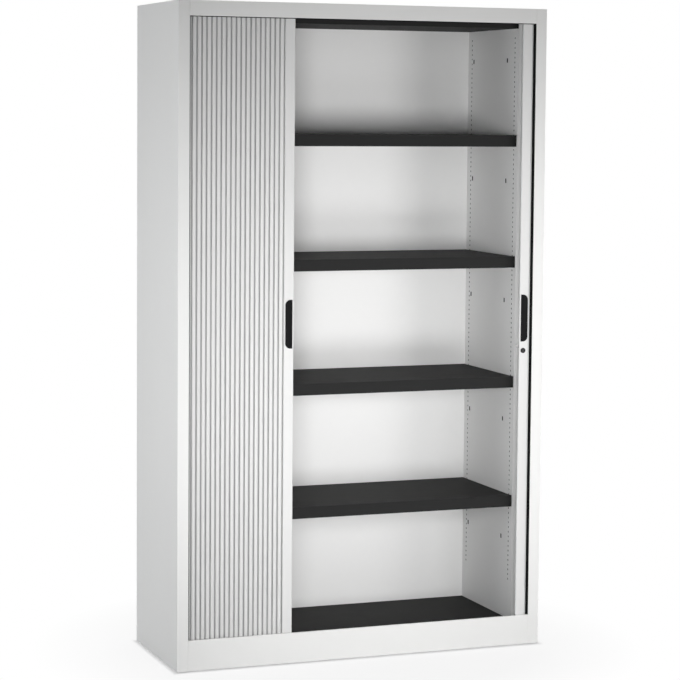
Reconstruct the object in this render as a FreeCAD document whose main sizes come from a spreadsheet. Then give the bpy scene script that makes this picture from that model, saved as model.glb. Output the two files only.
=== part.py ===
import FreeCAD, Part
import math
import os
import re
import Sketcher

# Roll front cabinet: a folded sheet steel case with two tambour shutters that run on a curved track,
# round each front corner and into a cavity along each side.
# Millimetres, +Z up. The origin is on the floor under the middle of the case, and the front looks along -Y.

# Driving sizes
SIZES = {
    # case
    "case_width": 1180,
    "case_depth": 440,
    "case_height": 1980,
    "sheet": 1,
    "fold_gap": 0.3,
    "fold_radius": 1.5,
    "cut_overrun": 5,
    "foot_lift": 3,
    "stile_width": 35,
    "stile_hem": 3,
    "back_flange": 22,
    "top_rail_height": 45,
    "rail_hem": 3.5,
    "bottom_rail_height": 95,
    "bottom_rail_flange": 30,
    "top_flange": 15,
    # compartment
    "side_cavity": 74,
    "front_setback": 44,
    "back_setback": 17,
    "floor_height": 72,
    "ceiling_drop": 59,
    "liner_flange": 15,
    # shelves
    "first_shelf_rise": 395,
    "shelf_pitch": 375,
    "shelf_count": 4,
    "shelf_lip": 35,
    "shelf_lip_return": 12,
    "shelf_flange": 20,
    "shelf_side_gap": 2,
    "shelf_front_gap": 2,
    "shelf_back_gap": 3,
    # holes of the inner panels
    "hole_size": 6,
    "hole_pitch": 15,
    "rows_per_cut": 5,
    "cuts_under_clip": 3,
    "hole_top_margin": 16,
    "front_column_inset": 27,
    "back_column_inset": 28,
    "lug_rise": 232.5,
    "lug_wide": 10,
    "lug_tall": 14,
    "front_lug_inset": 82,
    "back_lug_inset": 42,
    # shelf clips
    "clip_drop": 30,
    "clip_plate": 2,
    "clip_wide": 14,
    "clip_ledge": 12,
    "clip_foot": 3,
    "clip_play": 0.3,
    # track
    "curtain_setback": 11,
    "corner_radius": 45,
    "side_run_gap": 8.4,
    "return_run_gap": 7.6,
    "turn_setback": 38,
    "track_half_gap": 4.8,
    "track_fence": 1.4,
    "track_floor": 2,
    "fence_height": 9,
    "base_top": 78,
    "header_drop": 32,
    "header_depth": 20,
    "stop_length": 8,
    "track_end": 1,
    # slats
    "slat_pitch": 15,
    "spare_slats": 2,
    "bend_slats": 6,
    "return_slats": 4,
    "slat_half": 3.2,
    "slat_edge": 1.6,
    "slat_play": 0.4,
    "lip_reach": 2.5,
    "lip_thick": 1.4,
    "lip_drop": 1.4,
    "wall_back": 3.1,
    "hook_root": 1.9,
    "hook_left": 0.6,
    "hook_right": 0.8,
    "hook_rise": 0.9,
    "socket_wall": 1.9,
    "socket_foot": 3.4,
    # leading rails
    "rail_width": 31,
    "rail_half": 6,
    "rail_wall": 2,
    "rail_edge": 1.5,
    "rail_play": 1.5,
    "left_rest_setback": 361.5,
    "open_setback": 76.5,
    "shoe_inset": 1,
    "shoe_length": 14,
    "shoe_play": 0.3,
    "shoe_chamfer": 1.5,
    # grips
    "grip_height": 1028,
    "grip_length": 146,
    "grip_width": 22,
    "grip_proud": 5,
    "grip_corner": 16,
    "grip_bevel": 1.8,
    "grip_sunk": 3,
    "spigot_inset": 3,
    "scoop_radius": 22,
    "scoop_floor": 1,
    "scoop_inset": 1,
    # lock
    "lock_drop": 28,
    "lock_inset": 13.2,
    "lock_radius": 8,
    "lock_proud": 2,
    "lock_neck": 7,
    "lock_seat": 3.5,
    "barrel_radius": 5.5,
    "barrel_play": 0.05,
    "barrel_proud": 1,
    "barrel_tail": 2.6,
    "barrel_tail_length": 4.5,
    "key_slot_wide": 1.4,
    "key_slot_long": 7,
    "key_slot_deep": 3,
    "bolt_thick": 2.5,
    "bolt_wide": 6,
    "bolt_reach": 24,
    "bolt_angle": 45,
    "bolt_nose_drop": 4,
    "bolt_nose_wide": 4,
    "bolt_play": 1,
    "keeper_thick": 1.5,
    "keeper_margin": 6,
    # feet
    "foot_inset_x": 36,
    "foot_inset_y": 80,
    "pad_radius": 18,
    "pad_height": 6,
    "stud_radius": 5,
    "stud_length": 52,
    "stud_play": 0.05,
    "bracket_height": 34,
    "bracket_thick": 3,
    "bracket_length": 60,
    "boss_radius": 9,
    "boss_height": 8,
}

doc = FreeCAD.newDocument("roll_front_cabinet")
sheet = doc.addObject("Spreadsheet::Sheet", "Sizes")
for row, (word, value) in enumerate(SIZES.items(), 1):
    sheet.set(f"A{row}", word)
    sheet.set(f"B{row}", str(value))
    sheet.setAlias(f"B{row}", word)
doc.recompute()

WORD = re.compile(r"[a-z][a-z_]*[a-z]")


def bound(text):
    """A sum of size names, written with the cells of the sheet."""
    return WORD.sub(lambda found: "Sizes." + found.group() if found.group() in SIZES else found.group(), text)


def size(word):
    """The value of one size, read from the sheet."""
    return float(getattr(sheet, word))


def lead_of(side):
    """How far each rail's leading edge is from the middle: the left one part closed, the right one open."""
    return size("case_width") / 2 - size("open_setback" if side > 0 else "left_rest_setback")


# Helpers for bodies, sketches and features

def edges_where(shape, wanted):
    return [f"Edge{number}" for number, edge in enumerate(shape.Edges, 1) if wanted(edge)]


def fold(owner, wanted):
    """Rounds the outside of the long folds that the test picks."""
    doc.recompute()
    base = owner.Tip
    feature = owner.newObject("PartDesign::Fillet", owner.Name + "_folds")
    feature.Base = (base, edges_where(base.Shape, wanted))
    feature.setExpression("Radius", bound("fold_radius"))
    return feature


def body(name):
    """A new sub-part, placed at the origin of the case."""
    made = doc.addObject("PartDesign::Body", name)
    made.Label = name
    made.Placement = FreeCAD.Placement()
    return made


def plane(owner, role):
    return next(feature for feature in owner.Origin.OriginFeatures if feature.Role == role)


def draw(owner, name, role, outlines, lift="0", circles=()):
    """A sketch of closed outlines, each a list of corners, and of circles, each a centre and a radius."""
    sketch = owner.newObject("Sketcher::SketchObject", name)
    sketch.AttachmentSupport = [(plane(owner, role), "")]
    sketch.MapMode = "FlatFace"
    sketch.setExpression("AttachmentOffset.Base.z", bound(lift))
    for corners in outlines:
        first = sketch.GeometryCount
        count = len(corners)
        spots = [FreeCAD.Vector(math.cos(k * math.tau / count), math.sin(k * math.tau / count), 0)
                 for k in range(count)]
        for k in range(count):
            sketch.addGeometry(Part.LineSegment(spots[k], spots[(k + 1) % count]), False)
        for k in range(count):
            sketch.addConstraint(Sketcher.Constraint("Coincident", first + k, 2, first + (k + 1) % count, 1))
        for k, corner in enumerate(corners):
            for kind, text, value in zip(("DistanceX", "DistanceY"), corner, (spots[k].x, spots[k].y)):
                number = sketch.addConstraint(Sketcher.Constraint(kind, first + k, 1, value))
                sketch.setExpression(f"Constraints[{number}]", bound(text))
    for across, up, radius in circles:
        ring = sketch.addGeometry(Part.Circle(FreeCAD.Vector(1, 1, 0), FreeCAD.Vector(0, 0, 1), 1), False)
        for kind, text in (("DistanceX", across), ("DistanceY", up)):
            number = sketch.addConstraint(Sketcher.Constraint(kind, ring, 3, 1))
            sketch.setExpression(f"Constraints[{number}]", bound(text))
        number = sketch.addConstraint(Sketcher.Constraint("Radius", ring, 1))
        sketch.setExpression(f"Constraints[{number}]", bound(radius))
    return sketch


def box_outline(low_a, high_a, low_b, high_b):
    return [(low_a, low_b), (high_a, low_b), (high_a, high_b), (low_a, high_b)]


def pad(owner, sketch, length):
    feature = owner.newObject("PartDesign::Pad", sketch.Name + "_pad")
    feature.Profile = sketch
    feature.setExpression("Length", bound(length))
    return feature


def pocket(owner, sketch, length):
    """Cuts against the sketch's normal, and checks that something was cut."""
    doc.recompute()
    before = owner.Shape.Volume
    feature = owner.newObject("PartDesign::Pocket", sketch.Name + "_pocket")
    feature.Profile = sketch
    feature.setExpression("Length", bound(length))
    doc.recompute()
    if not owner.Shape.Volume < before:
        raise RuntimeError(f"{feature.Name} cuts nothing")
    return feature


def prism(name, role, outline, low, length):
    """A folded or extruded piece: one outline along one axis. On the XZ plane, low is the highest -Y."""
    made = body(name)
    pad(made, draw(made, name + "_profile", role, [outline], low), length)
    return made


def solid(name, shape):
    """A piece whose shape is worked out from the sheet's values."""
    made = doc.addObject("Part::Feature", name)
    made.Label = name
    made.Shape = shape
    made.Placement = FreeCAD.Placement()
    return made


# Places that several pieces share, as sums of the sizes
half_width = "case_width / 2"
front = "-case_depth / 2"
back = "case_depth / 2"
wall = f"({half_width} - sheet)"
stile_edge = f"({half_width} - stile_width)"
inner_face = f"({half_width} - side_cavity)"
room_front = f"({front} + front_setback)"
room_back = f"({back} - back_setback)"
ceiling = "(case_height - ceiling_drop)"
track_top = "(base_top + track_floor)"
header_low = "(case_height - header_drop)"
curtain_line = f"({front} + curtain_setback)"
side_run = f"({half_width} - side_run_gap)"
corner_start = f"({side_run} - corner_radius)"
header_front = f"({curtain_line} - header_depth / 2)"
header_back = f"({curtain_line} + header_depth / 2)"
first_shelf = "(floor_height + first_shelf_rise)"
shelf_edge = f"({inner_face} - shelf_side_gap)"
left_rest_lead = f"({half_width} - left_rest_setback)"
open_lead = f"({half_width} - open_setback)"


def mirrored(side, outline):
    """An outline for the left (-1) or the right (1) side, its X turned over for the left."""
    return [(f"{side} * ({across})", along) for across, along in outline]


def on_front(edge):
    """Whether an edge lies all along the front face of the case."""
    return edge.BoundBox.YMax < size("fold_gap") - size("case_depth") / 2


# Case shell: two folded sides with their stiles, top, front rails and back

def side_panel(name, side):
    """Side, stile and back flange are one folded sheet as tall as the case."""
    outline = [
        (stile_edge, front),
        (half_width, front),
        (half_width, back),
        (f"{half_width} - back_flange", back),
        (f"{half_width} - back_flange", f"{back} - sheet"),
        (wall, f"{back} - sheet"),
        (wall, f"{front} + sheet"),
        (f"{stile_edge} + sheet", f"{front} + sheet"),
        (f"{stile_edge} + sheet", f"{front} + sheet + stile_hem"),
        (stile_edge, f"{front} + sheet + stile_hem"),
    ]
    made = prism(name, "XY_Plane", mirrored(side, outline), "foot_lift", "case_height - foot_lift")
    relief = mirrored(side, box_outline(stile_edge, f"{stile_edge} + sheet",
                                        f"{front} + sheet", f"{front} + sheet + stile_hem"))
    pocket(made, draw(made, name + "_relief", "XY_Plane", [relief], "case_height"), "sheet")
    fold(made, lambda edge: edge.BoundBox.ZLength > size("case_height") / 2 and on_front(edge))
    return made


side_panel("left_side_panel", -1)
side_panel("right_side_panel", 1)

# The top sheet lies between the sides, with a flange down at the back
prism("top_panel", "YZ_Plane", [
    (f"{front} + sheet", "case_height"),
    (f"{back} - sheet", "case_height"),
    (f"{back} - sheet", "case_height - sheet"),
    (f"{back} - 2 * sheet", "case_height - sheet"),
    (f"{back} - 2 * sheet", "case_height - top_flange"),
    (f"{back} - 3 * sheet", "case_height - top_flange"),
    (f"{back} - 3 * sheet", "case_height - sheet"),
    (f"{front} + sheet", "case_height - sheet"),
], f"-{wall}", f"2 * {wall}")

# The front top rail closes the gap over the shutters, with a flange back under the top sheet
top_rail = prism("top_rail", "YZ_Plane", [
    (front, "case_height - top_rail_height"),
    (f"{front} + sheet + rail_hem", "case_height - top_rail_height"),
    (f"{front} + sheet + rail_hem", "case_height - top_rail_height + sheet"),
    (f"{front} + sheet", "case_height - top_rail_height + sheet"),
    (f"{front} + sheet", "case_height - 2 * sheet"),
    (header_back, "case_height - 2 * sheet"),
    (header_back, "case_height - sheet"),
    (f"{front} + sheet", "case_height - sheet"),
    (f"{front} + sheet", "case_height"),
    (front, "case_height"),
], f"-{stile_edge}", f"2 * {stile_edge}")
fold(top_rail, lambda edge: edge.BoundBox.XLength > size("case_width") / 2 and on_front(edge)
     and edge.BoundBox.ZMax < size("case_height") - size("top_rail_height") / 2)

# The bottom rail stands between the stiles
bottom_rail = prism("bottom_rail", "YZ_Plane", [
    (front, "foot_lift"),
    (f"{front} + bottom_rail_flange", "foot_lift"),
    (f"{front} + bottom_rail_flange", "foot_lift + sheet"),
    (f"{front} + sheet", "foot_lift + sheet"),
    (f"{front} + sheet", "bottom_rail_height - sheet"),
    (f"{front} + sheet + rail_hem", "bottom_rail_height - sheet"),
    (f"{front} + sheet + rail_hem", "bottom_rail_height"),
    (front, "bottom_rail_height"),
], f"-{stile_edge}", f"2 * {stile_edge}")
fold(bottom_rail, lambda edge: edge.BoundBox.XLength > size("case_width") / 2 and on_front(edge))

prism("back_panel", "XZ_Plane", box_outline(f"-{wall}", wall, "foot_lift", "case_height - sheet"),
      f"-({back} - sheet)", "sheet")

# The inner back is a tray whose side flanges reach the back panel
inner_back_edge = f"({inner_face} + sheet + liner_flange)"
prism("inner_back_panel", "XY_Plane", [
    (f"-{inner_back_edge}", room_back),
    (inner_back_edge, room_back),
    (inner_back_edge, f"{back} - 2 * sheet"),
    (f"{inner_back_edge} - sheet", f"{back} - 2 * sheet"),
    (f"{inner_back_edge} - sheet", f"{room_back} + sheet"),
    (f"-({inner_back_edge} - sheet)", f"{room_back} + sheet"),
    (f"-({inner_back_edge} - sheet)", f"{back} - 2 * sheet"),
    (f"-{inner_back_edge}", f"{back} - 2 * sheet"),
], "foot_lift", f"{header_low} - foot_lift")


# Inner side panels, with two columns of square holes and the larger slots for hanging frames. The cuts are
# every fifth row of the real panel's holes, the rows that the shelf clips use among them.

def inner_panel(name, side):
    made = body(name)
    outline = [
        (inner_face, room_front),
        (f"{inner_face} + liner_flange", room_front),
        (f"{inner_face} + liner_flange", f"{room_front} + sheet"),
        (f"{inner_face} + sheet", f"{room_front} + sheet"),
        (f"{inner_face} + sheet", f"{room_back} - sheet"),
        (f"{inner_face} + sheet + liner_flange", f"{room_back} - sheet"),
        (f"{inner_face} + sheet + liner_flange", room_back),
        (inner_face, room_back),
    ]
    pad(made, draw(made, name + "_profile", "XY_Plane", [mirrored(side, outline)], "foot_lift"),
        f"{header_low} - foot_lift")
    cut_plane = f"{side} * {inner_face} + ({side} + 1) / 2 * sheet + cut_overrun"
    cut_depth = "sheet + 2 * cut_overrun"
    cut_pitch = "(rows_per_cut * hole_pitch)"
    lowest = f"({first_shelf} - clip_drop - cuts_under_clip * {cut_pitch})"
    columns = (f"({room_front} + front_column_inset)", f"({room_back} - back_column_inset)")
    holes = draw(made, name + "_holes", "YZ_Plane", [
        box_outline(f"{column} - hole_size / 2", f"{column} + hole_size / 2",
                    f"{lowest} - hole_size / 2", f"{lowest} + hole_size / 2")
        for column in columns], cut_plane)
    hole_pair = pocket(made, holes, cut_depth)
    rows = made.newObject("PartDesign::LinearPattern", name + "_hole_rows")
    rows.Originals = [hole_pair]
    rows.Direction = (holes, ["V_Axis"])
    rows.Mode = "Spacing"
    rows.setExpression("Offset", bound(cut_pitch))
    rows.setExpression("Occurrences",
                       bound(f"floor(({ceiling} - hole_top_margin - {lowest}) / {cut_pitch}) + 1"))
    made.Tip = rows
    doc.recompute()
    lug_middle = f"({first_shelf} - shelf_pitch + lug_rise)"
    lugs = draw(made, name + "_lugs", "YZ_Plane", [
        box_outline(f"{column} - lug_wide / 2", f"{column} + lug_wide / 2",
                    f"{lug_middle} - lug_tall / 2", f"{lug_middle} + lug_tall / 2")
        for column in (f"({room_front} + front_lug_inset)", f"({room_back} - back_lug_inset)")], cut_plane)
    lug_pair = pocket(made, lugs, cut_depth)
    storeys = made.newObject("PartDesign::LinearPattern", name + "_lug_rows")
    storeys.Originals = [lug_pair]
    storeys.Direction = (lugs, ["V_Axis"])
    storeys.Mode = "Spacing"
    storeys.setExpression("Offset", bound("shelf_pitch"))
    storeys.setExpression("Occurrences", bound("floor(shelf_count) + 1"))
    made.Tip = storeys
    return made


inner_panel("left_inner_panel", -1)
inner_panel("right_inner_panel", 1)


# Open trays: a rectangle with walls, made from a block that is hollowed

def tray(name, low_x, high_x, low_y, high_y, low_z, high_z, hollow_from_top):
    """A pan of sheet thickness, open below, or above where hollow_from_top is set."""
    made = body(name)
    pad(made, draw(made, name + "_plan", "XY_Plane", [box_outline(low_x, high_x, low_y, high_y)], low_z),
        f"{high_z} - ({low_z})")
    inside = box_outline(f"{low_x} + sheet", f"{high_x} - sheet", f"{low_y} + sheet", f"{high_y} - sheet")
    if hollow_from_top:
        pocket(made, draw(made, name + "_hollow", "XY_Plane", [inside], f"{high_z}"),
               f"{high_z} - ({low_z}) - sheet")
    else:
        pocket(made, draw(made, name + "_hollow", "XY_Plane", [inside], f"{high_z} - sheet"),
               f"{high_z} - ({low_z}) - sheet")
    return made


pan_edge = f"({inner_face} - fold_gap)"
tray("ceiling_pan", f"-{pan_edge}", pan_edge, room_front, f"{room_back} - fold_gap", ceiling,
     "case_height - sheet", True)
tray("floor_pan", f"-{pan_edge}", pan_edge, f"{room_front} + fold_gap", f"{room_back} - fold_gap", "foot_lift",
     "floor_height", False)

# The base under the tracks: a channel behind the bottom rail and a box under each side cavity
prism("front_base_channel", "YZ_Plane", [
    (f"{front} + sheet", "base_top"),
    (f"{front} + sheet", "base_top - sheet"),
    (f"{room_front} - sheet", "base_top - sheet"),
    (f"{room_front} - sheet", "foot_lift + sheet"),
    (room_front, "foot_lift + sheet"),
    (room_front, "base_top"),
], f"-{stile_edge}", f"2 * {stile_edge}")


def base_box(name, side):
    """A channel under the side cavity, with a plate that reaches to the front behind the stile."""
    made = body(name)
    outline = [
        (f"{inner_face} + sheet", "foot_lift"),
        (f"{inner_face} + 2 * sheet", "foot_lift"),
        (f"{inner_face} + 2 * sheet", "base_top - sheet"),
        (f"{wall} - sheet", "base_top - sheet"),
        (f"{wall} - sheet", "foot_lift"),
        (wall, "foot_lift"),
        (wall, "base_top"),
        (f"{inner_face} + sheet", "base_top"),
    ]
    pad(made, draw(made, name + "_profile", "XZ_Plane", [mirrored(side, outline)], f"-({room_back} - sheet)"),
        f"{room_back} - {room_front} - 2 * sheet")
    corner_plate = draw(made, name + "_corner", "XY_Plane", [mirrored(side, box_outline(
        stile_edge, wall, f"{front} + sheet + stile_hem", f"{room_front} + sheet"))], "base_top - sheet")
    pad(made, corner_plate, "sheet")
    return made


base_box("left_base_box", -1)
base_box("right_base_box", 1)

# The header over the opening and the carriers over the side cavities hold the upper tracks
prism("header_channel", "YZ_Plane", [
    (header_front, header_low),
    (header_back, header_low),
    (header_back, "case_height - 2 * sheet"),
    (f"{header_back} - sheet", "case_height - 2 * sheet"),
    (f"{header_back} - sheet", f"{header_low} + sheet"),
    (f"{header_front} + sheet", f"{header_low} + sheet"),
    (f"{header_front} + sheet", "case_height - 2 * sheet"),
    (header_front, "case_height - 2 * sheet"),
], f"-{stile_edge}", f"2 * {stile_edge}")


def carrier(name, side):
    """A channel above the side cavity, hung under the top sheet."""
    made = body(name)
    outline = [
        (inner_face, header_low),
        (wall, header_low),
        (wall, "case_height - sheet"),
        (f"{wall} - sheet", "case_height - sheet"),
        (f"{wall} - sheet", f"{header_low} + sheet"),
        (f"{inner_face} + sheet", f"{header_low} + sheet"),
        (f"{inner_face} + sheet", "case_height - sheet"),
        (inner_face, "case_height - sheet"),
    ]
    pad(made, draw(made, name + "_profile", "XZ_Plane", [mirrored(side, outline)], f"-({room_back} - sheet)"),
        f"{room_back} - sheet - {header_back} - fold_gap")
    corner_plate = draw(made, name + "_corner", "XY_Plane", [mirrored(side, box_outline(
        stile_edge, wall, f"{front} + sheet + stile_hem", f"{header_back} + fold_gap"))], header_low)
    pad(made, corner_plate, "sheet")
    return made


carrier("left_upper_carrier", -1)
carrier("right_upper_carrier", 1)


# Shelves: folded black pans with a deep front lip that is turned back at its foot

def shelf(number):
    name = f"shelf_{number}"
    made = body(name)
    top = f"({first_shelf} + {number - 1} * shelf_pitch)"
    shelf_front = f"({room_front} + shelf_front_gap)"
    shelf_back = f"({room_back} - shelf_back_gap)"
    pad(made, draw(made, name + "_plan", "XY_Plane",
                   [box_outline(f"-{shelf_edge}", shelf_edge, shelf_front, shelf_back)], f"{top} - shelf_lip"),
        "shelf_lip")
    hollow = draw(made, name + "_hollow", "XY_Plane", [box_outline(
        f"-{shelf_edge} + sheet", f"{shelf_edge} - sheet", f"{shelf_front} + sheet", f"{shelf_back} - sheet")],
        f"{top} - sheet")
    pocket(made, hollow, "shelf_lip - 2 * sheet")
    mouth = draw(made, name + "_mouth", "XY_Plane", [box_outline(
        f"-{shelf_edge} + sheet", f"{shelf_edge} - sheet",
        f"{shelf_front} + shelf_lip_return", f"{shelf_back} - sheet")], f"{top} - shelf_lip + 2 * sheet")
    pocket(made, mouth, "3 * sheet")
    trim = draw(made, name + "_trim", "XY_Plane", [box_outline(
        f"-{shelf_edge} - cut_overrun", f"{shelf_edge} + cut_overrun",
        f"{shelf_front} + shelf_lip_return", f"{shelf_back} + cut_overrun")], f"{top} - shelf_flange")
    pocket(made, trim, "shelf_lip")
    return made


for number in range(1, int(size("shelf_count")) + 1):
    shelf(number)


# Shelf clips: a plate against the inner panel, a ledge under the shelf and a foot through a square hole

def shelf_clips():
    clips = []
    half = size("clip_wide") / 2
    face = size("case_width") / 2 - size("side_cavity")
    room = {"front": size("front_setback") - size("case_depth") / 2,
            "back": size("case_depth") / 2 - size("back_setback")}
    columns = (room["front"] + size("front_column_inset"), room["back"] - size("back_column_inset"))
    foot = size("hole_size") / 2 - size("clip_play")
    for number in range(int(size("shelf_count"))):
        top = size("floor_height") + size("first_shelf_rise") + number * size("shelf_pitch")
        seat = top - size("shelf_flange")
        hole = top - size("clip_drop")
        for column in columns:
            ledge_corner = FreeCAD.Vector(face - size("clip_ledge"), column - half, seat - size("clip_plate"))
            ledge = Part.makeBox(size("clip_ledge"), 2 * half, size("clip_plate"), ledge_corner)
            plate_thick = size("shelf_side_gap") - size("clip_play")
            plate_corner = FreeCAD.Vector(face - plate_thick, column - half, hole - half)
            plate = Part.makeBox(plate_thick, 2 * half, seat - hole + half, plate_corner)
            peg = Part.makeBox(size("clip_foot") + size("clip_plate"), 2 * foot, 2 * foot,
                               FreeCAD.Vector(face - size("clip_plate"), column - foot, hole - foot))
            clip = ledge.fuse([plate, peg]).removeSplitter()
            clips.append(clip)
            clips.append(clip.mirror(FreeCAD.Vector(), FreeCAD.Vector(1, 0, 0)))
    return solid("shelf_clips", Part.makeCompound(clips))


shelf_clips()


# Track path: the front run, the corner, the side run, the U bend and the return run of the right side.
# The left side is its mirror image. A place on it is given by its distance from the middle of the front.

class Path:
    def __init__(self):
        self.line = size("curtain_setback") - size("case_depth") / 2
        self.side = size("case_width") / 2 - size("side_run_gap")
        self.corner = size("corner_radius")
        inner = size("case_width") / 2 - size("side_cavity") + size("return_run_gap")
        self.bend = (self.side - inner) / 2
        self.turn_y = size("case_depth") / 2 - size("back_setback") - size("turn_setback")
        self.corner_from = self.side - self.corner
        self.side_from = self.corner_from + self.corner * math.pi / 2
        self.turn_from = self.side_from + self.turn_y - self.line - self.corner
        self.return_from = self.turn_from + self.bend * math.pi
        self.first = lead_of(1) + size("rail_width") + size("wall_back")
        self.slats = math.floor((size("case_width") / 2 - size("stile_width") - size("rail_width"))
                                / size("slat_pitch")) + int(size("spare_slats"))
        self.tail = self.pivots(self.first)[1][-1]
        self.stop_from = self.tail + size("hook_right") + size("slat_play")
        self.end = self.stop_from + size("stop_length") + size("track_end")

    def spot(self, travel, out=0.0):
        """The point at this distance along the path, moved out towards the outer side of the curtain."""
        if travel <= self.corner_from:
            return FreeCAD.Vector(travel, self.line - out, 0)
        if travel <= self.side_from:
            angle = (travel - self.corner_from) / self.corner
            reach = self.corner + out
            return FreeCAD.Vector(self.corner_from + reach * math.sin(angle),
                                  self.line + self.corner - reach * math.cos(angle), 0)
        if travel <= self.turn_from:
            return FreeCAD.Vector(self.side + out, self.line + self.corner + travel - self.side_from, 0)
        if travel <= self.return_from:
            angle = (travel - self.turn_from) / self.bend
            reach = self.bend + out
            return FreeCAD.Vector(self.side - self.bend + reach * math.cos(angle),
                                  self.turn_y + reach * math.sin(angle), 0)
        return FreeCAD.Vector(self.side - 2 * self.bend - out, self.turn_y - (travel - self.return_from), 0)

    def pivots(self, first):
        """The pivots of a curtain whose first pivot is this far from the middle, a slat pitch apart."""
        pitch = size("slat_pitch")
        spots = [FreeCAD.Vector(first, self.line, 0)]
        travels = [first]
        for _ in range(self.slats):
            low, high = travels[-1], travels[-1] + 2 * pitch
            while high - low > size("slat_play") / 1000:
                middle = (low + high) / 2
                if self.spot(middle).distanceToPoint(spots[-1]) < pitch:
                    low = middle
                else:
                    high = middle
            travels.append(high)
            spots.append(self.spot(high))
        return spots, travels

    def edges(self, out, start, end):
        """The path at a constant distance out, between two distances along it, as lines and arcs."""
        stations = [0, self.corner_from, self.side_from, self.turn_from, self.return_from, math.inf]
        made = []
        for low, high, bent in zip(stations, stations[1:], (False, True, False, True, False)):
            low = max(low, start)
            high = min(high, end)
            if high <= low:
                continue
            ends = self.spot(low, out), self.spot(high, out)
            if bent:
                made.append(Part.Arc(ends[0], self.spot((low + high) / 2, out), ends[1]).toShape())
            else:
                made.append(Part.LineSegment(*ends).toShape())
        return made

    def band(self, between, start, end, low_z, high_z):
        """A strip that follows the path between two distances out, and between two heights."""
        low_out, high_out = between
        far = self.edges(high_out, start, end)
        near = self.edges(low_out, start, end)
        caps = [Part.LineSegment(self.spot(travel, low_out), self.spot(travel, high_out)).toShape()
                for travel in (start, end)]
        outline = Part.Wire(Part.__sortEdges__(far + near + caps))
        strip = Part.Face(outline).extrude(FreeCAD.Vector(0, 0, high_z - low_z))
        strip.translate(FreeCAD.Vector(0, 0, low_z))
        return strip


path = Path()
LEFT = FreeCAD.Vector(1, 0, 0)


def on_side(shape, side):
    return shape if side > 0 else shape.mirror(FreeCAD.Vector(), LEFT)


def side_track(name, side, upper):
    """The curved track of one side: a floor with a fence along each edge, fences up or down."""
    gap = size("track_half_gap")
    edge = gap + size("track_fence")
    floor_low = size("base_top")
    floor_high = floor_low + size("track_floor")
    fence_to = floor_high + size("fence_height")
    if upper:
        floor_high = size("case_height") - size("header_drop")
        floor_low = floor_high - size("track_floor")
        fence_to = floor_low - size("fence_height")
    fence_low = min(floor_low, fence_to)
    fence_high = max(floor_high, fence_to)
    start = path.corner_from
    floor = path.band((-edge, edge), start, path.end, floor_low, floor_high)
    fences = [path.band(between, start, path.end, fence_low, fence_high)
              for between in ((gap, edge), (-edge, -gap))]
    return solid(name, on_side(floor.fuse(fences).removeSplitter(), side))


def front_track(name, floor_far, floor_near, fence_end):
    """The straight track across the opening, as one extrusion for both shutters."""
    gap = "track_half_gap"
    edge = "(track_half_gap + track_fence)"
    middle = curtain_line
    outline = [
        (f"{middle} - {edge}", floor_far),
        (f"{middle} + {edge}", floor_far),
        (f"{middle} + {edge}", fence_end),
        (f"{middle} + {gap}", fence_end),
        (f"{middle} + {gap}", floor_near),
        (f"{middle} - {gap}", floor_near),
        (f"{middle} - {gap}", fence_end),
        (f"{middle} - {edge}", fence_end),
    ]
    return prism(name, "YZ_Plane", outline, f"-{corner_start}", f"2 * {corner_start}")


front_track("lower_front_track", "base_top", track_top, f"{track_top} + fence_height")
front_track("upper_front_track", header_low, f"{header_low} - track_floor",
            f"{header_low} - track_floor - fence_height")
for word, side in (("left", -1), ("right", 1)):
    side_track(f"lower_{word}_track", side, False)
    side_track(f"upper_{word}_track", side, True)


# Slats: each hooks behind the lip of the next, and turns on it round the corners

def slat_height():
    low = size("base_top") + size("track_floor") + size("slat_play")
    high = size("case_height") - size("header_drop") - size("track_floor") - size("slat_play")
    return low, high


def slat_corners(length):
    """The outline of a slat: along it from pivot to pivot, and out from the pivots' line."""
    half = size("slat_half")
    body_end = length - size("wall_back")
    return [
        (-size("lip_reach"), half - size("slat_edge")),
        (-size("lip_reach") + size("slat_edge"), half),
        (body_end - size("slat_edge"), half),
        (body_end, half - size("slat_edge")),
        (body_end, -size("hook_root")),
        (length - size("hook_left"), -size("hook_root")),
        (length - size("hook_left"), size("hook_rise")),
        (length + size("hook_right"), size("hook_rise")),
        (length + size("hook_right"), -half),
        (size("socket_foot"), -half),
        (size("socket_wall"), half - size("slat_edge")),
        (size("lip_thick") - size("lip_reach"), half - size("slat_edge")),
        (size("lip_thick") - size("lip_reach"), -size("lip_drop")),
        (-size("lip_reach"), -size("lip_drop")),
    ]


def slat(start, end):
    """One slat between two pivots."""
    low, high = slat_height()
    along = (end - start).normalize()
    out = FreeCAD.Vector(along.y, -along.x, 0)
    spots = [start + along * u + out * v for u, v in slat_corners(size("slat_pitch"))]
    face = Part.Face(Part.makePolygon(spots + spots[:1]))
    made = face.extrude(FreeCAD.Vector(0, 0, high - low))
    made.translate(FreeCAD.Vector(0, 0, low))
    return made


def curtain(word, side, tail):
    """The slats of one shutter: by the stretch that holds them, and the last ones in packs of named counts."""
    spots, travels = path.pivots(lead_of(side) + size("rail_width") + size("wall_back"))
    owners = []
    for start, end in zip(travels, travels[1:]):
        middle = (start + end) / 2
        owners.append("front" if middle <= path.corner_from else "corner" if middle <= path.side_from else "side")
    packs = [name for name in tail for _ in range(int(size(f"{name}_slats")))]
    owners[len(owners) - len(packs):] = packs
    for name in dict.fromkeys(owners):
        slats = [on_side(slat(*ends), side) for owner, ends in zip(owners, zip(spots, spots[1:])) if owner == name]
        solid(f"{word}_curtain_{name}", Part.makeCompound(slats))


curtain("left", -1, ())
curtain("right", 1, ("bend", "return"))


# End stops close the groove just past the last slat of an open shutter

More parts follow.
